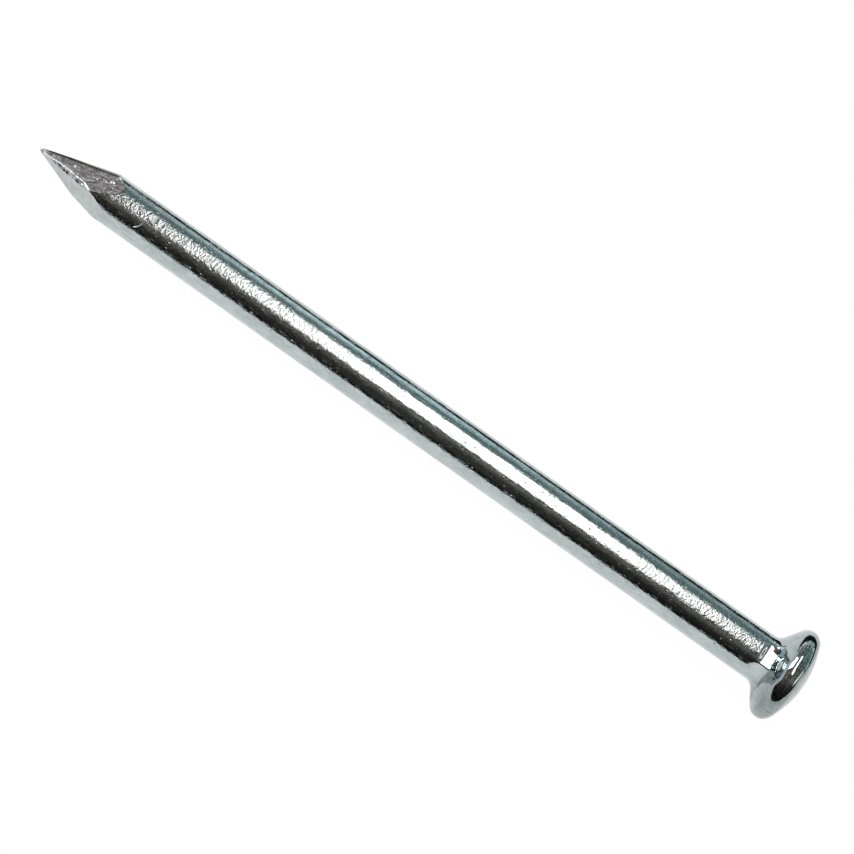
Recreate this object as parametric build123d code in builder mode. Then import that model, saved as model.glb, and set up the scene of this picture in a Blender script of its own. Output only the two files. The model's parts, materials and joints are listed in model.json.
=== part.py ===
from build123d import *

import os
from math import asin, atan2, cos, degrees, hypot, radians, sin, sqrt

# A round wire nail with a four-sided diamond point and a domed head on a swept neck. Millimetres.
# The nail lies on a level surface, as it does on a bench: it rests on the rim of its head and on the
# bottom of its shank, just behind the point. The surface is z = 0, and +X runs from point to head.

os.makedirs("parts", exist_ok=True)

# Driving dimensions
LENGTH = 76.2  # 3 inches, from the blunt end of the point to the crown of the head
SHANK_DIAMETER = 4.2
HEAD_DIAMETER = 8.45
DOME_RADIUS = 8.4  # the head's top is a shallow spherical dome
RIM_RADIUS = 1.0  # rounding between the flare and the dome
FLARE_ANGLE = 56.0  # of the cone under the head, from the nail's axis
NECK_RADIUS = 1.0  # the sweep from the shank into the flare
FACET_LENGTH = 7.85  # from the point to the far end of each facet
POINT_SETBACK = 0.3  # how far the facets would run on past the blunt end before they met
FACET_AZIMUTHS = (0, 90, 180, 270)  # about the axis, from the top of the nail towards its front

# The pinching dies meet along two opposite ridges, and the sheared flash leaves a flat on each.
# Each flat has its azimuth, the distance from the point at which it runs out, and its slope.
BACK_FLAT = (-45, 6.8, 15.3)
FRONT_FLAT = (135, 7.05, 9.1)

# Head profile, as distances along the axis from the point and radii from the axis
SHANK_RADIUS = SHANK_DIAMETER / 2
RIM_CENTRE_R = HEAD_DIAMETER / 2 - RIM_RADIUS
DOME_CENTRE_S = LENGTH - DOME_RADIUS
RIM_CENTRE_S = DOME_CENTRE_S + sqrt((DOME_RADIUS - RIM_RADIUS) ** 2 - RIM_CENTRE_R**2)
DOME_HALF_ANGLE = degrees(atan2(RIM_CENTRE_R, RIM_CENTRE_S - DOME_CENTRE_S))
FLARE_SIN = sin(radians(FLARE_ANGLE))
FLARE_COS = cos(radians(FLARE_ANGLE))
FLARE_RISE = (RIM_CENTRE_R - SHANK_RADIUS - NECK_RADIUS) * FLARE_COS
NECK_START_S = RIM_CENTRE_S - (RIM_RADIUS + NECK_RADIUS + FLARE_RISE) / FLARE_SIN
FLARE_END = (RIM_CENTRE_S - RIM_RADIUS * FLARE_SIN, RIM_CENTRE_R + RIM_RADIUS * FLARE_COS)

# Lying at rest: the axis rises towards the head by the angle of the line that touches both the rim
# and the bottom of the shank at the far end of the lower facet.
REST_RUN = RIM_CENTRE_S - FACET_LENGTH
REST_DROP = RIM_CENTRE_R - SHANK_RADIUS
REST_ANGLE = atan2(REST_DROP, REST_RUN) + asin(RIM_RADIUS / hypot(REST_RUN, REST_DROP))
POINT_X = -(DOME_CENTRE_S * cos(REST_ANGLE) + DOME_RADIUS) / 2
POINT_Z = SHANK_RADIUS * cos(REST_ANGLE) - FACET_LENGTH * sin(REST_ANGLE)

# The nail's own plane: local X along the axis from the point, local Y upwards, normal to the front.
LYING = Plane(
    origin=(POINT_X, 0, POINT_Z),
    x_dir=(cos(REST_ANGLE), 0, sin(REST_ANGLE)),
    z_dir=(0, -1, 0),
)


def outward(azimuth):
    """The unit vector square to the axis at an azimuth from the nail's top towards its front."""
    return LYING.y_dir * cos(radians(azimuth)) + LYING.z_dir * sin(radians(azimuth))


def sloping_cut(azimuth, run_out, slope):
    """A plane that meets the shank's surface at run_out and falls towards the point by slope."""
    square = outward(azimuth)
    return Plane(
        origin=LYING.origin + LYING.x_dir * run_out + square * SHANK_RADIUS,
        z_dir=square * cos(radians(slope)) - LYING.x_dir * sin(radians(slope)),
    )


# Shank, neck and head: one profile turned about the nail's axis
with BuildPart() as nail:
    with BuildSketch(LYING):
        with BuildLine():
            Line((0, 0), (0, SHANK_RADIUS))
            Line((0, SHANK_RADIUS), (NECK_START_S, SHANK_RADIUS))
            neck = JernArc((NECK_START_S, SHANK_RADIUS), (1, 0), NECK_RADIUS, FLARE_ANGLE)
            Line(neck @ 1, FLARE_END)
            rim_turn = -(90 + FLARE_ANGLE - DOME_HALF_ANGLE)
            rim = JernArc(FLARE_END, (FLARE_COS, FLARE_SIN), RIM_RADIUS, rim_turn)
            dome = JernArc(rim @ 1, rim % 1, DOME_RADIUS, -DOME_HALF_ANGLE)
            Line(dome @ 1, (0, 0))
        make_face()
    revolve(axis=Axis(LYING.origin, LYING.x_dir))

    # Diamond point: four facets, pinched and sheared into the wire
    facet_slope = degrees(atan2(SHANK_RADIUS, FACET_LENGTH + POINT_SETBACK))
    for azimuth in FACET_AZIMUTHS:
        split(bisect_by=sloping_cut(azimuth, FACET_LENGTH, facet_slope), keep=Keep.BOTTOM)

    # Flats where the flash was sheared from the two ridges on the parting line
    for flat in (BACK_FLAT, FRONT_FLAT):
        split(bisect_by=sloping_cut(*flat), keep=Keep.BOTTOM)

nail.part.label = "nail"
export_step(nail.part, "parts/nail.step")
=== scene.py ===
import json
from math import atan2, ceil, cos, exp, hypot, pi, radians, sin, sqrt, tan

import bpy
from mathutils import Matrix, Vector, noise


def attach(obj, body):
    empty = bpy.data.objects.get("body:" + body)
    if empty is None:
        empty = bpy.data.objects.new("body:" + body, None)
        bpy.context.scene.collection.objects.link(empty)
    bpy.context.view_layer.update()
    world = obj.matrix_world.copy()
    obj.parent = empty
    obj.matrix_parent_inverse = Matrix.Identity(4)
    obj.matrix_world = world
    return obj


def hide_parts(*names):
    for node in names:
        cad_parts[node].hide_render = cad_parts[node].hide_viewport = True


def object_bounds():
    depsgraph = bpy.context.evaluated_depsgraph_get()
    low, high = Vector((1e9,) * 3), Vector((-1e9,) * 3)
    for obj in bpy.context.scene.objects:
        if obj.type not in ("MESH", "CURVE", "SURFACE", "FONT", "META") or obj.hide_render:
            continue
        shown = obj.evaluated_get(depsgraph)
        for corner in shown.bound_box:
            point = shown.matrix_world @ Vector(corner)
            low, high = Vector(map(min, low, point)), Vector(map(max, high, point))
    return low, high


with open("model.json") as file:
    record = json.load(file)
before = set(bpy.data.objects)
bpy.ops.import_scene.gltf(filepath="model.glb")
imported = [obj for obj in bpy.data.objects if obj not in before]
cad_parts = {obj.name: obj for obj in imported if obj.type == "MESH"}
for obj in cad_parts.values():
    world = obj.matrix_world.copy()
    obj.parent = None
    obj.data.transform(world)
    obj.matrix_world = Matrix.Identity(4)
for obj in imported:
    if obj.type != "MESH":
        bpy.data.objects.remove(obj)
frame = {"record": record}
CAD_LOW, CAD_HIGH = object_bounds()

# The nail's own frame. s runs along its axis from the point, in millimetres, and azimuth runs about
# the axis from the nail's top towards its front.
MM = 0.001
SHANK = next(m for m in frame["record"]["mounts"] if m["name"] == "shank")
TO_HEAD = -Vector(SHANK["axis"]).normalized()
FRONT = Vector((0, -1, 0))
UP = FRONT.cross(TO_HEAD)
SHANK_MIDDLE = Vector(SHANK["pos_m"])
POINT = SHANK_MIDDLE - TO_HEAD * ((SHANK_MIDDLE.x - CAD_LOW.x) / TO_HEAD.x)
SHANK_R = SHANK["dims"]["r_mm"]
MIDDLE_S = (SHANK_MIDDLE - POINT).length / MM
FACET_END_S = MIDDLE_S - SHANK["dims"]["length_mm"] / 2
NECK_START_S = MIDDLE_S + SHANK["dims"]["length_mm"] / 2

# The head, as in the CAD part: a neck arc, a flare, a rounded rim and a shallow dome
DOME_R = 8.4
RIM_R = 1.0
NECK_R = 1.0
FLARE_ANGLE = radians(56)
HEAD_R = (CAD_HIGH.y - CAD_LOW.y) / 2 / MM
DOME_CENTRE_S = ((CAD_HIGH.x - POINT.x) / MM - DOME_R) / TO_HEAD.x
RIM_CENTRE_R = HEAD_R - RIM_R
RIM_CENTRE_S = DOME_CENTRE_S + sqrt((DOME_R - RIM_R) ** 2 - RIM_CENTRE_R**2)
DOME_HALF_ANGLE = atan2(RIM_CENTRE_R, RIM_CENTRE_S - DOME_CENTRE_S)

# The diamond point, as in the CAD part. Each cut has an azimuth, the s at which it runs out on the
# shank's surface, and a slope.
POINT_SETBACK = 0.3
FACET_SLOPE = atan2(SHANK_R, FACET_END_S + POINT_SETBACK)
FACETS = [(radians(a), FACET_END_S, FACET_SLOPE) for a in (0, 90, 180, 270)]
BACK_FLAT = (radians(-45), 6.8, radians(15.3))
FRONT_FLAT = (radians(135), 7.05, radians(9.1))
BACK_BEVEL = (radians(-24), 6.75, radians(16.1))  # a worn edge between the top facet and its flat
CUTS = FACETS + [BACK_FLAT, FRONT_FLAT, BACK_BEVEL]
CUT_REACH = 0.3  # the least cosine, from a cut's own azimuth, at which the cut still counts
BEYOND = 1e3  # the radius of a cut that doesn't reach an azimuth
NOSE_CHIP = (radians(60), 2.03, radians(50))  # the blunt nose is broken off obliquely
STRIP_AZIMUTH = radians(45)  # of the ridge that faces front and up, crushed to a narrow strip
STRIP_DEPTH = 0.2
BURR_HEIGHT = 0.055  # of the burr beside the strip
CURL_HEIGHT = 0.05  # of the curled burrs on the back shoulder
SCUFF_HEIGHT = 0.04  # of the scuffs over the strip
FIN_HALF_THICKNESS = 0.03  # of the thin flash along a parting-line ridge

# The dies that hold the shank for heading leave two flats with a seam between them. Each flat has
# its azimuth and the length of its run-in.
GRIP_FLATS = ((radians(19), 0.15), (radians(71), 0.65))
GRIP_SEAM = radians(45)
GRIP_HALF_WIDTH = radians(26)  # of each flat on the shank
GRIP_DEPTH = SHANK_R * (1 - cos(GRIP_HALF_WIDTH))
GRIP_WALL_S = NECK_START_S + 0.98  # where the wall that ends the flats would meet the shank's surface
GRIP_WALL_SLOPE = radians(66)

# Mesh density
AROUND = 160
POINT_RINGS = 100
SHANK_STEP = 0.165
HEAD_STEP = 0.1


def ease(low, high, x):
    """0 below low, 1 above high, and smooth between them. high may be under low."""
    t = min(1.0, max(0.0, (x - low) / (high - low)))
    return t * t * (3 - 2 * t)


def angle_between(a, b):
    """The signed angle from b to a, from -pi to pi."""
    return (a - b + pi) % (2 * pi) - pi


def place(s, r, azimuth):
    """A point of the nail in the row frame, in metres."""
    square = UP * cos(azimuth) + FRONT * sin(azimuth)
    return POINT + (TO_HEAD * s + square * r) * MM


# ---------------------------------------------------------------- shape of the nail


def cut_end(azimuth):
    """The s at which the last cut of the point runs out at an azimuth."""
    ends = []
    for cut_azimuth, run_out, slope in CUTS:
        c = cos(azimuth - cut_azimuth)
        if c > CUT_REACH:
            ends.append(run_out - SHANK_R * (1 - c) / tan(slope))
    return max(ends)


def cut_radius(cut, azimuth, s):
    """The radius at which one cut meets the ray at an azimuth, or a large number behind it."""
    cut_azimuth, run_out, slope = cut
    c = cos(azimuth - cut_azimuth)
    if c < CUT_REACH:
        return BEYOND
    return (SHANK_R - (run_out - s) * tan(slope)) / c


def facet_radius(s):
    """The distance of the facets from the axis."""
    return SHANK_R - (FACET_END_S - s) * tan(FACET_SLOPE)


def fin_radius(flat, azimuth, s):
    """The thin flash left along a parting-line ridge where its sheared flat lies outside the facets."""
    off = abs(angle_between(azimuth, flat[0]))
    if off > 1.2:
        return 0.0
    tip_limit = 0.06 + 1.1 * s
    return min(cut_radius(flat, flat[0], s), tip_limit, FIN_HALF_THICKNESS / max(0.02, sin(off)))


def strip_depth(s):
    """How deep the ridge that faces front and up is crushed."""
    return STRIP_DEPTH * ease(0.5, 3.0, s) * ease(5.5, 4.7, s)


def point_radius(azimuth, s):
    """Radius of the diamond point at an azimuth and s."""
    facets = min(cut_radius(f, azimuth, s) for f in FACETS)
    facets = max(facets, fin_radius(BACK_FLAT, azimuth, s))
    flats = min(cut_radius(f, azimuth, s) for f in (BACK_FLAT, FRONT_FLAT, BACK_BEVEL))
    r = min(SHANK_R, facets, flats)
    across = cos(azimuth - STRIP_AZIMUTH)
    if across > 0.5:
        r = min(r, (facet_radius(s) * sqrt(2) - strip_depth(s)) / across)
    return max(0.004, min(r, cut_radius(NOSE_CHIP, azimuth, s)))


def strip_burr(azimuth, s, r):
    """How much of the burr along the crushed strip's upper edge stands at a place, from 0 to 1."""
    side = r * sin(angle_between(azimuth, STRIP_AZIMUTH))
    line = exp(-(((side + strip_depth(s)) / 0.085) ** 2)) * ease(0.1, 0.5, s) * ease(5.7, 5.4, s)
    return line * min(1.0, max(0.2, 0.8 + 0.7 * wave(place(s, r, azimuth), 0.5, 5)))


def strip_scuffs(azimuth, s, r):
    """Ragged scuffs over the crushed strip, from -1 to 1."""
    side = r * sin(angle_between(azimuth, STRIP_AZIMUTH))
    depth = strip_depth(s)
    inside = ease(depth + 0.05, depth, abs(side)) * ease(0, 0.1, depth)
    p = place(s, r, azimuth)
    return inside * min(1.0, max(-1.0, 1.6 * wave(p, 0.3, 57) + 1.1 * wave(p, 0.16, 59) - 0.15))


def ridge_painted_reflection(azimuth, s, r):
    """Where the back ridge is sheared, along which a dark reflection is painted into the colour as a line,
    from 0 to 1.
    """
    back = min(cut_radius(BACK_BEVEL, azimuth, s), cut_radius(BACK_FLAT, azimuth, s))
    return ease(0.08, 0.04, back - r) * ease(0.3, 0.8, s) * ease(7.1, 6.5, s)


def head_profile():
    """The head's outline from the end of the shank to the pole: (s, r, normal s, normal r)."""
    rows = []

    def arc(centre_s, centre_r, radius, start, end, hollow):
        steps = ceil(abs(end - start) * radius / HEAD_STEP)
        for i in range(1, steps + 1):
            a = start + (end - start) * i / steps
            n = (cos(a), sin(a))
            side = -1 if hollow else 1
            rows.append((centre_s + radius * n[0], centre_r + radius * n[1], side * n[0], side * n[1]))

    arc(NECK_START_S, SHANK_R + NECK_R, NECK_R, -pi / 2, -pi / 2 + FLARE_ANGLE, True)
    start_s, start_r = rows[-1][:2]
    normal = (-sin(FLARE_ANGLE), cos(FLARE_ANGLE))
    end_s = RIM_CENTRE_S + RIM_R * normal[0]
    end_r = RIM_CENTRE_R + RIM_R * normal[1]
    steps = ceil(hypot(end_s - start_s, end_r - start_r) / HEAD_STEP)
    for i in range(1, steps):
        k = i / steps
        rows.append((start_s + (end_s - start_s) * k, start_r + (end_r - start_r) * k, *normal))
    arc(RIM_CENTRE_S, RIM_CENTRE_R, RIM_R, pi / 2 + FLARE_ANGLE, DOME_HALF_ANGLE, False)
    arc(DOME_CENTRE_S, 0.0, DOME_R, DOME_HALF_ANGLE, 0.0, False)
    return rows


# ---------------------------------------------------------------- relief


def wave(point, size, seed):
    """Smooth noise with features of about size millimetres, from -1 to 1."""
    return noise.noise(point / (size * MM) + Vector((seed, 0.7 * seed, -seed)))


def coarse_plating(s):
    """How coarse the plating is along the shank: most near both ends, and least between them."""
    return 0.25 + 0.75 * ease(36, 27, s) + 0.6 * ease(54, 62, s) * ease(75, 71, s)


def upper_side(azimuth):
    """The share of that coarseness at an azimuth: it fades behind the top of the nail and in front."""
    turn = angle_between(azimuth, 0)
    return 0.25 + 0.75 * ease(radians(-22), radians(-6), turn) * ease(radians(62), radians(48), turn)


def surface_gap(s, azimuth, s0, azimuth0):
    """Distance over the surface between two places, in millimetres."""
    return hypot(s - s0, SHANK_R * angle_between(azimuth, azimuth0))


def curl(s, azimuth):
    """Curled burrs on the back shoulder of the point, from 0 to 1."""
    lift = 0.0
    for s0, azimuth0, radius in ((7.0, -19, 0.30), (6.7, -6, 0.18)):
        d = surface_gap(s, azimuth, s0, radians(azimuth0))
        backwards = ease(0.05, -0.1, angle_between(azimuth, radians(azimuth0)))
        lift = max(lift, backwards * exp(-(((d - radius) / 0.06) ** 2)))
    return lift


def dent(s, azimuth):
    """A round dent near the point, with a raised rim, in millimetres."""
    d = surface_gap(s, azimuth, 11.3, radians(13))
    height = 0.012 * exp(-(((d - 0.42) / 0.08) ** 2))
    if d < 0.38:
        height -= 0.015 * (1 - (d / 0.38) ** 2) ** 2
    return height


def shank_relief(s, azimuth):
    """Gentle waves in the shank, drawing lines along it, and the dent, in millimetres."""
    p = place(s, SHANK_R, azimuth)
    rough = coarse_plating(s)
    height = 0.008 * wave(p, 5.0, 3)
    height += 0.0030 * rough * wave(p, 0.9, 11)
    height += 0.0012 * rough * wave(p, 0.5, 23)
    along = Vector((p.x / 2.4, p.y / 0.5, p.z / 0.5))
    height += 0.0016 * wave(along, 1.0, 29)
    return height + dent(s, azimuth)


def gripped(azimuth, s, r):
    """The radius under the head, cut down by the heading dies' flats as far as the wall they end in."""
    wall = SHANK_R + (s - GRIP_WALL_S) * tan(GRIP_WALL_SLOPE)
    rise = 0.045 * max(0.0, s - NECK_START_S + 0.2)
    turn = angle_between(azimuth, 0)
    reach = ease(radians(-15), radians(7), turn) * ease(radians(140), radians(88), turn)
    for flat, run_in in GRIP_FLATS:
        across = cos(azimuth - flat)
        depth = GRIP_DEPTH * ease(NECK_START_S - 0.1 - run_in, NECK_START_S - 0.1, s)
        if across > 0.5:
            cut = min(r, max((SHANK_R - depth + rise) / across, wall))
            r += (cut - r) * reach
    return r


def head_relief(s, r, azimuth):
    """Hammered waves over the head, rings round its rim, and the dies' seam across its flare."""
    p = place(s, r, azimuth)
    height = 0.010 * wave(p, 5.0, 3) + 0.006 * wave(p, 1.4, 41) + 0.006 * wave(p, 0.7, 47)
    around = Vector((s * 3.2, 0.8 * r * cos(azimuth), 0.8 * r * sin(azimuth))) * MM
    height += 0.016 * wave(around, 1.0, 43) * ease(RIM_CENTRE_S - 1.2, RIM_CENTRE_S - 0.6, s)
    seam = r * angle_between(azimuth, GRIP_SEAM - 0.05)
    return height + 0.02 * exp(-((seam / 0.09) ** 2)) * ease(RIM_CENTRE_S - 0.4, RIM_CENTRE_S - 0.9, s)


def head_darkening(s, azimuth):
    """How much darker the head is coloured, from 0 to 1: its dome all over, and its flare most of all in
    front, where the darkening is painted shade.
    """
    # painted shade: the flare is darkest where it faces the front
    front_shade = 0.6 + 0.4 * cos(azimuth - radians(110))
    on_dome = ease(RIM_CENTRE_S - 0.6, RIM_CENTRE_S + 0.3, s)
    return ease(NECK_START_S + 0.2, NECK_START_S + 1.5, s) * max(front_shade, on_dome)


def build_nail():
    """One mesh of rings from the point to the crown, with the looks of each place as attributes."""
    azimuths = [2 * pi * k / AROUND for k in range(AROUND)]
    ends = [cut_end(a) for a in azimuths]
    points, sheared, worn, shaded, speckle, duller, struck = [], [], [], [], [], [], []

    def add_ring(ring):
        for (s, r), azimuth, cut, edge, shade in ring:
            points.append(place(s, r, azimuth))
            sheared.append(cut)
            worn.append(edge)
            shaded.append(shade)
            speckle.append(coarse_plating(s) * upper_side(azimuth))
            duller.append(head_darkening(s, azimuth))
            struck.append(ease(NECK_START_S - 0.3, NECK_START_S + 0.1, s))

    rings = 0
    for i in range(POINT_RINGS + 1):
        k = i / POINT_RINGS
        ring = []
        for azimuth, end in zip(azimuths, ends):
            s = k * end
            r = point_radius(azimuth, s)
            p = place(s, r, azimuth)
            edge, lip, scuff = strip_burr(azimuth, s, r), curl(s, azimuth), strip_scuffs(azimuth, s, r)
            # a painted dark reflection along the back ridge, left off the curled burrs
            shade = ridge_painted_reflection(azimuth, s, r) * (1 - lip)
            r += BURR_HEIGHT * edge + CURL_HEIGHT * lip + SCUFF_HEIGHT * scuff
            r += (0.006 * wave(p, 0.5, 31) + 0.010 * wave(p, 1.3, 37)) * ease(0, 1, s)
            top_facet = ease(radians(62), radians(40), abs(azimuth if azimuth < pi else azimuth - 2 * pi))
            cut = (0.2 + 0.8 * top_facet) * (1.0 if k < 1 else 0.5)
            ring.append(((s, r), azimuth, cut, max(edge, 0.7 * lip, 0.8 * scuff), shade))
        add_ring(ring)
        rings += 1
    steps = ceil((NECK_START_S - FACET_END_S) / SHANK_STEP)
    for i in range(1, steps + 1):
        k = i / steps
        ring = []
        for azimuth, end in zip(azimuths, ends):
            s = end + (NECK_START_S - end) * k
            r = SHANK_R + shank_relief(s, azimuth) * ease(0, 0.01, k)
            ring.append(((s, gripped(azimuth, s, r)), azimuth, 0.0, 0.0, 0.0))
        add_ring(ring)
        rings += 1
    profile = head_profile()
    for s, r, normal_s, normal_r in profile[:-1]:
        ring = []
        for azimuth in azimuths:
            h = head_relief(s, r, azimuth)
            r_cut = gripped(azimuth, s, r)
            ring.append(((s + normal_s * h, r_cut + normal_r * h), azimuth, 0.0, 0.0, 0.0))
        add_ring(ring)
        rings += 1
    faces = []
    for ring in range(rings - 1):
        a = ring * AROUND
        for k in range(AROUND):
            n = (k + 1) % AROUND
            faces.append((a + k, a + n, a + AROUND + n, a + AROUND + k))
    tip, pole = len(points), len(points) + 1
    points.append(place(-0.02, 0, 0))
    points.append(place(*profile[-1][:2], 0))
    sheared += [1.0, 0.0]
    worn += [0.5, 0.0]
    shaded += [0.0, 0.0]
    speckle += [1.0, 0.3]
    duller += [0.0, 1.0]
    struck += [0.0, 1.0]
    last = (rings - 1) * AROUND
    for k in range(AROUND):
        n = (k + 1) % AROUND
        faces.append((tip, n, k))
        faces.append((pole, last + k, last + n))
    mesh = bpy.data.meshes.new("zinc_nail")
    mesh.from_pydata(points, [], faces)
    mesh.update()
    for polygon in mesh.polygons:
        polygon.use_smooth = True
    layers = {"sheared": sheared, "worn": worn, "shaded": shaded}
    layers.update({"speckle": speckle, "duller": duller, "struck": struck})
    for name, values in layers.items():
        layer = mesh.attributes.new(name, "FLOAT", "POINT")
        layer.data.foreach_set("value", values)
    nail = bpy.data.objects.new("zinc_nail", mesh)
    bpy.context.scene.collection.objects.link(nail)
    return nail


# ---------------------------------------------------------------- materials


class Tree:
    """Short calls for building a node tree."""

    def __init__(self, tree):
        self.tree = tree
        tree.nodes.clear()

    def node(self, kind, **values):
        n = self.tree.nodes.new(kind)
        for key, value in values.items():
            setattr(n, key, value)
        return n

    def link(self, source, target):
        self.tree.links.new(source, target)

    def math(self, operation, a, b=0.0, clamp=False):
        n = self.node("ShaderNodeMath", operation=operation, use_clamp=clamp)
        for socket, value in zip(n.inputs, (a, b)):
            if isinstance(value, (int, float)):
                socket.default_value = value
            else:
                self.link(value, socket)
        return n.outputs[0]

    def scaled(self, vector, scale):
        mapping = self.node("ShaderNodeMapping")
        mapping.inputs["Scale"].default_value = scale
        self.link(vector, mapping.inputs["Vector"])
        return mapping.outputs["Vector"]

    def noise(self, vector, scale, detail=2.0, swirl=0.0):
        """Noise from 0 to 1, with one feature to each unit of the scaled vector."""
        n = self.node("ShaderNodeTexNoise")
        n.inputs["Scale"].default_value = 1.0
        n.inputs["Detail"].default_value = detail
        n.inputs["Distortion"].default_value = swirl
        self.link(self.scaled(vector, scale), n.inputs["Vector"])
        return n.outputs["Fac"]

    def pits(self, vector, spacing, radius):
        """Round pits, 0 outside and 1 at their middles, scattered at about spacing apart."""
        n = self.node("ShaderNodeTexVoronoi", feature="F1")
        n.inputs["Scale"].default_value = 1.0
        self.link(self.scaled(vector, (1 / spacing,) * 3), n.inputs["Vector"])
        return self.range(n.outputs["Distance"], 0.0, radius / spacing, 1.0, 0.0, "SMOOTHSTEP")

    def nick(self, vector, middle, centre, half_length, width):
        """A thin arc on the surface, 1 along its line, through middle and turning about centre."""
        gap = self.math("SUBTRACT", self.distance(vector, centre), (middle - centre).length)
        line = self.range(self.math("ABSOLUTE", gap), 0.0, width / 2, 1.0, 0.0, "SMOOTHSTEP")
        near = self.range(self.distance(vector, middle), 0.8 * half_length, half_length, 1.0, 0.0)
        return self.math("MULTIPLY", line, near)

    def distance(self, vector, point):
        n = self.node("ShaderNodeVectorMath", operation="DISTANCE")
        self.link(vector, n.inputs[0])
        n.inputs[1].default_value = point
        return n.outputs["Value"]

    def band(self, value, low, high, soft):
        """1 where value lies from low to high, and 0 outside, with edges soft wide."""
        rise = self.range(value, low - soft / 2, low + soft / 2, 0.0, 1.0, "SMOOTHSTEP")
        fall = self.range(value, high - soft / 2, high + soft / 2, 1.0, 0.0, "SMOOTHSTEP")
        return self.math("MULTIPLY", rise, fall)

    def range(self, value, low, high, to_low, to_high, kind="LINEAR"):
        n = self.node("ShaderNodeMapRange", clamp=True, interpolation_type=kind)
        self.link(value, n.inputs["Value"])
        for key, number in zip(("From Min", "From Max", "To Min", "To Max"), (low, high, to_low, to_high)):
            n.inputs[key].default_value = number
        return n.outputs["Result"]

    def times(self, a, b):
        n = self.node("ShaderNodeVectorMath", operation="MULTIPLY")
        self.link(a, n.inputs[0])
        self.link(b, n.inputs[1])
        return n.outputs[0]

    def scale_colour(self, colour, factor):
        n = self.node("ShaderNodeVectorMath", operation="SCALE")
        self.link(colour, n.inputs[0])
        self.link(factor, n.inputs["Scale"])
        return n.outputs[0]

    def mix(self, factor, a, b):
        n = self.node("ShaderNodeMix", data_type="RGBA")
        for socket, value in zip((n.inputs[0], n.inputs[6], n.inputs[7]), (factor, a, b)):
            if isinstance(value, (int, float)):
                socket.default_value = value
            elif isinstance(value, tuple):
                socket.default_value = (*value, 1.0)
            else:
                self.link(value, socket)
        return n.outputs[2]


def per_mm(*sizes):
    """The scale that makes one unit of each axis that many millimetres."""
    return [1 / (size * MM) for size in sizes]


def zinc_material():
    """Bright zinc plating, steered by the mesh's attributes."""
    material = bpy.data.materials.new("bright_zinc")
    material.use_nodes = True
    t = Tree(material.node_tree)
    where = t.node("ShaderNodeTexCoord").outputs["Object"]
    sheared = t.node("ShaderNodeAttribute", attribute_name="sheared").outputs["Fac"]
    speckle = t.node("ShaderNodeAttribute", attribute_name="speckle").outputs["Fac"]
    worn = t.node("ShaderNodeAttribute", attribute_name="worn").outputs["Fac"]
    shaded = t.node("ShaderNodeAttribute", attribute_name="shaded").outputs["Fac"]
    duller = t.node("ShaderNodeAttribute", attribute_name="duller").outputs["Fac"]
    struck = t.node("ShaderNodeAttribute", attribute_name="struck").outputs["Fac"]
    surface = t.node("ShaderNodeBsdfPrincipled")
    surface.inputs["Metallic"].default_value = 1.0

    # Mottled zinc, a darker head with painted shade on its flare's front, bare sheared facets, a painted
    # dark reflection along the sheared back ridge, and bright worn burrs
    cloud = t.noise(where, per_mm(2.5, 1.5, 1.5), 4.0)
    fleck = t.noise(where, per_mm(0.6, 0.3, 0.3), 3.0)
    tone = t.math("ADD", t.math("MULTIPLY", cloud, 0.55), t.math("MULTIPLY", fleck, 0.45))
    tone = t.range(tone, 0.4, 0.6, 0, 1)
    base = t.mix(tone, (0.41, 0.46, 0.46), (0.52, 0.565, 0.57))
    # the head darker all over, with painted shade on the flare's front
    base = t.mix(duller, base, t.mix(tone, (0.22, 0.26, 0.255), (0.34, 0.385, 0.375)))
    smear = t.range(t.noise(where, per_mm(0.45, 0.45, 0.45), 3.0, 1.0), 0.38, 0.62, 0, 1)
    bare = t.mix(smear, (0.31, 0.285, 0.28), (0.62, 0.58, 0.57))
    base = t.mix(t.math("MULTIPLY", sheared, 0.9), base, bare)
    # painted dark reflection: nearly black along the back ridge
    base = t.mix(t.math("MULTIPLY", shaded, 0.85), base, (0.03, 0.03, 0.03))
    base = t.mix(t.math("MULTIPLY", worn, 0.9), base, (0.93, 0.94, 0.94))
    t.link(base, surface.inputs["Base Color"])

    # Fine streaks of rougher plating along the wire, fainter on the head
    streaks = t.noise(where, per_mm(0.7, 0.18, 0.18), 3.0, 1.0)
    grains = t.noise(where, per_mm(0.26, 0.26, 0.26), 3.0, 0.5)
    rough = t.range(streaks, 0.49, 0.69, 0.03, 0.34)
    rough = t.math("MULTIPLY", rough, t.range(struck, 0, 1, 1, 0.45))
    rough = t.math("ADD", rough, t.math("MULTIPLY", sheared, 0.16))
    rough = t.math("ADD", rough, t.math("MULTIPLY", worn, 0.3))
    t.link(rough, surface.inputs["Roughness"])

    # Relief, faint on the head: chatter marks and grains where the plating is coarse or sheared,
    # streaks along the wire, pits anywhere, and one scratch
    chatter = t.noise(where, per_mm(0.24, 0.42, 0.42), 2.0, 1.0)
    pits = t.pits(where, 0.62 * MM, 0.10 * MM)
    scratch_at, scratch_about = place(10.5, SHANK_R, radians(48)), place(9.73, SHANK_R, radians(31))
    scratch = t.nick(where, scratch_at, scratch_about, 0.42 * MM, 0.11 * MM)
    height = t.math("ADD", t.math("MULTIPLY", chatter, 0.8), t.math("MULTIPLY", grains, 1.2))
    height = t.math("MULTIPLY", height, t.math("MAXIMUM", speckle, t.math("MULTIPLY", sheared, 0.75)))
    height = t.math("ADD", height, t.math("MULTIPLY", streaks, 0.45))
    height = t.math("SUBTRACT", height, t.math("MULTIPLY", pits, 1.3))
    height = t.math("ADD", height, t.math("MULTIPLY", scratch, 1.5))
    height = t.math("MULTIPLY", height, t.range(struck, 0, 1, 1, 0.1))
    bump = t.node("ShaderNodeBump")
    bump.inputs["Distance"].default_value = 0.02 * MM
    t.link(height, bump.inputs["Height"])
    t.link(bump.outputs["Normal"], surface.inputs["Normal"])
    output = t.node("ShaderNodeOutputMaterial")
    t.link(surface.outputs["BSDF"], output.inputs["Surface"])
    return material


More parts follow.
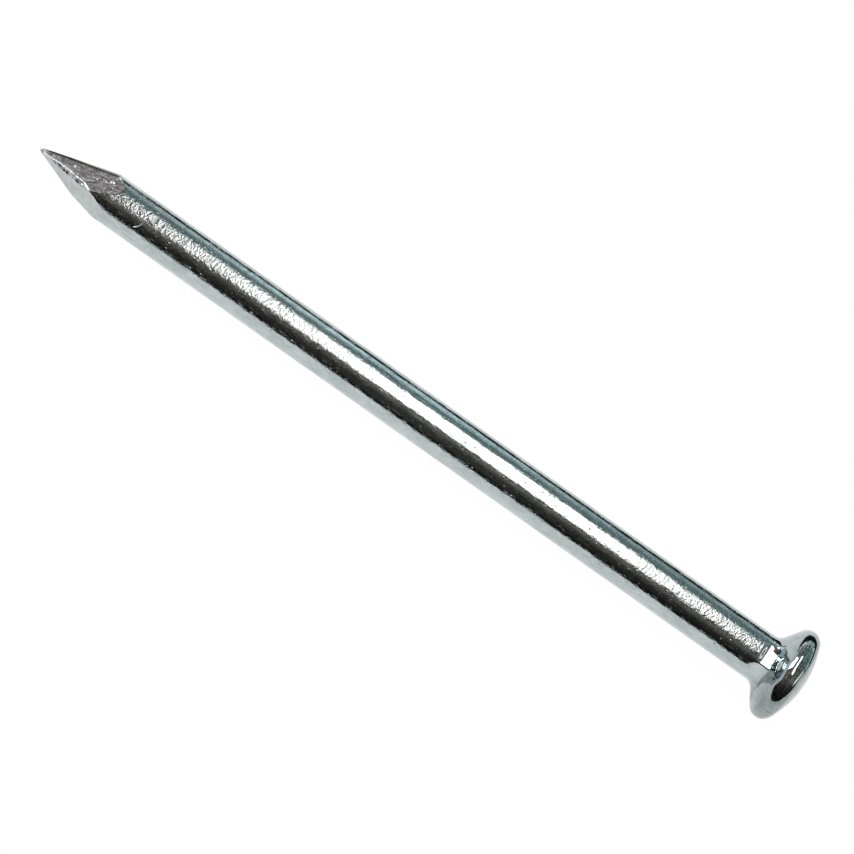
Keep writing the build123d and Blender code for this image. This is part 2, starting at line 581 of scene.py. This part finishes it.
def floor_material():
    """White to the camera all over, but only as wide as a small light table in reflections."""
    material = bpy.data.materials.new("light_table")
    material.use_nodes = True
    t = Tree(material.node_tree)
    surface = t.node("ShaderNodeBsdfPrincipled")
    surface.inputs["Base Color"].default_value = (0.04, 0.04, 0.04, 1)
    surface.inputs["Roughness"].default_value = 1.0
    surface.inputs["Specular IOR Level"].default_value = 0.0
    surface.inputs["Emission Color"].default_value = (1, 1, 1, 1)
    axes = t.node("ShaderNodeSeparateXYZ")
    t.link(t.node("ShaderNodeTexCoord").outputs["Object"], axes.inputs[0])
    table = t.band(axes.outputs["Y"], -TABLE_FRONT, TABLE_BACK, 2 * MM)
    seen = t.node("ShaderNodeLightPath").outputs["Is Camera Ray"]
    glow = t.math("MULTIPLY", t.math("MAXIMUM", seen, table), 0.98)
    t.link(glow, surface.inputs["Emission Strength"])
    output = t.node("ShaderNodeOutputMaterial")
    t.link(surface.outputs["BSDF"], output.inputs["Surface"])
    return material


# ---------------------------------------------------------------- studio

CAMERA_ELEVATION = radians(57.5)
CAMERA_DISTANCE = 0.22
FRAME_WIDTH = 0.0698  # of the picture, at the nail
NAIL_SLOPE = radians(35.2)  # of the nail below level in the picture
AIM_RIGHT, AIM_UP = 0.59 * MM, -0.83 * MM  # of the picture's centre from the nail's middle
TABLE_FRONT, TABLE_BACK = 38 * MM, 50 * MM  # how far the light table reaches from the nail


def add_camera():
    """The camera, nearly square to the nail's axis, with the nail sloping down to the right."""
    towards = Vector((0, -cos(CAMERA_ELEVATION), sin(CAMERA_ELEVATION)))
    along = (TO_HEAD - towards * TO_HEAD.dot(towards)).normalized()
    across = towards.cross(along)
    right = along * cos(NAIL_SLOPE) + across * sin(NAIL_SLOPE)
    up = across * cos(NAIL_SLOPE) - along * sin(NAIL_SLOPE)
    middle = POINT + TO_HEAD * (DOME_CENTRE_S + DOME_R) / 2 * MM
    camera = bpy.data.objects.new("camera", bpy.data.cameras.new("camera"))
    camera.data.sensor_width = 36
    camera.data.lens = 36 * CAMERA_DISTANCE / FRAME_WIDTH
    camera.data.clip_start = 0.01
    camera.location = middle + right * AIM_RIGHT + up * AIM_UP + towards * CAMERA_DISTANCE
    turn = camera.matrix_world.to_3x3()
    for k in range(3):
        turn[k][0], turn[k][1], turn[k][2] = right[k], up[k], towards[k]
    camera.rotation_mode = "QUATERNION"
    camera.rotation_quaternion = turn.to_quaternion()
    bpy.context.scene.collection.objects.link(camera)
    bpy.context.scene.camera = camera


def add_floor():
    half = 3.0
    mesh = bpy.data.meshes.new("floor")
    corners = [(-half, -half, 0), (half, -half, 0), (half, half, 0), (-half, half, 0)]
    mesh.from_pydata(corners, [], [(0, 1, 2, 3)])
    mesh.materials.append(floor_material())
    floor = bpy.data.objects.new("floor", mesh)
    bpy.context.scene.collection.objects.link(floor)


def add_softbox():
    """A strip light over the nail. Its reflection is the bright line along the shank."""
    light = bpy.data.lights.new("softbox", "AREA")
    light.shape = "RECTANGLE"
    light.size = 0.15
    light.size_y = 0.435
    light.energy = 0.74
    light.color = (1.0, 0.94, 0.91)
    softbox = bpy.data.objects.new("softbox", light)
    softbox.location = (-0.015, 0, 0.5)
    bpy.context.scene.collection.objects.link(softbox)


# What the studio looks like round the nail, in degrees from the front horizon over the top to the
# back one
SKY = (
    (0, (0.006, 0.006, 0.006)),
    (10, (0.030, 0.030, 0.028)),
    (28, (0.050, 0.048, 0.042)),
    (40, (0.125, 0.119, 0.103)),
    (56, (0.250, 0.240, 0.215)),
    (85, (0.17, 0.165, 0.155)),
    (112, (0.23, 0.31, 0.32)),
    (140, (0.25, 0.35, 0.36)),
    (150, (0.32, 0.44, 0.45)),
    (155, (0.80, 0.99, 1.0)),
    (166, (0.68, 0.88, 0.91)),
    (169, (0.008, 0.020, 0.025)),
    (180, (0.008, 0.020, 0.024)),
)
# Windows: the side, the middle in degrees from that side towards the front, the half width, the
# lowest and highest elevation in degrees, and the colour
WINDOWS = (
    ("left", 0, 30, 4, 24, (0.9, 1.15, 1.35)),
    ("left", -7, 15, 32, 48, (11.0, 12.0, 12.5)),
    ("right", 3, 15, 13, 27, (2.0, 2.0, 2.0)),
)
BACKDROP = (0.99, 0.99, 0.99)


def build_world():
    """The room, which only reflections show: to the camera, the background is plain white."""
    world = bpy.data.worlds.new("studio")
    bpy.context.scene.world = world
    world.use_nodes = True
    t = Tree(world.node_tree)
    direction = t.node("ShaderNodeTexCoord").outputs["Generated"]
    axes = t.node("ShaderNodeSeparateXYZ")
    t.link(direction, axes.inputs[0])
    height = axes.outputs["Z"]
    forward = t.math("MULTIPLY", axes.outputs["Y"], -1.0)
    leftward = t.math("MULTIPLY", axes.outputs["X"], -1.0)
    turn = t.math("DIVIDE", t.math("ARCTAN2", height, forward), pi)
    ramp = t.node("ShaderNodeValToRGB")
    stops = ramp.color_ramp.elements
    while len(stops) < len(SKY):
        stops.new(1.0)
    for stop, (angle, colour) in zip(stops, SKY):
        stop.position = angle / 180
        stop.color = (*colour, 1)
    t.link(turn, ramp.inputs["Fac"])

    # The room's shelves and furniture, as stripes along the nail
    stripes = t.noise(direction, (4, 17, 17), 2.5)
    room = t.scale_colour(ramp.outputs["Color"], t.range(stripes, 0.38, 0.62, 0.12, 2.15))

    # It is darker in a band to either side, and warmer to the left
    aside = t.math("ABSOLUTE", t.math("SUBTRACT", leftward, 0.064))
    dim = t.math("MULTIPLY", t.range(aside, 0.03, 0.13, 0, 0.55), t.range(aside, 0.2, 0.32, 1, 0))
    room = t.scale_colour(room, t.math("SUBTRACT", 1.0, dim))
    near_tint = t.mix(t.range(leftward, 0.09, 0.17, 0, 1), (1.0, 1.0, 1.0), (1.05, 0.94, 0.93))
    far_tint = t.mix(t.range(leftward, 0.35, 0.6, 0, 1), (1.0, 1.0, 1.0), (1.05, 0.82, 0.8))
    room = t.times(t.times(room, near_tint), far_tint)

    # Two windows to the left, a white one and a low pale blue one, and a narrow one to the right
    round_left = t.math("ARCTAN2", forward, leftward)
    round_right = t.math("ARCTAN2", forward, axes.outputs["X"])
    for round_side, middle, half, low, high, glass in WINDOWS:
        side = round_left if round_side == "left" else round_right
        across = t.band(side, radians(middle - half), radians(middle + half), radians(4))
        pane = t.math("MULTIPLY", across, t.band(height, sin(radians(low)), sin(radians(high)), 0.05))
        room = t.mix(pane, room, glass)

    seen = t.node("ShaderNodeLightPath").outputs["Is Camera Ray"]
    colour = t.mix(seen, room, BACKDROP)
    background = t.node("ShaderNodeBackground")
    t.link(colour, background.inputs["Color"])
    output = t.node("ShaderNodeOutputWorld")
    t.link(background.outputs["Background"], output.inputs["Surface"])


add_camera()
build_world()
add_floor()
add_softbox()
nail = build_nail()
nail.data.materials.append(zinc_material())
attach(nail, "root")
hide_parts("nail")
bpy.context.scene.view_settings.view_transform = "Standard"
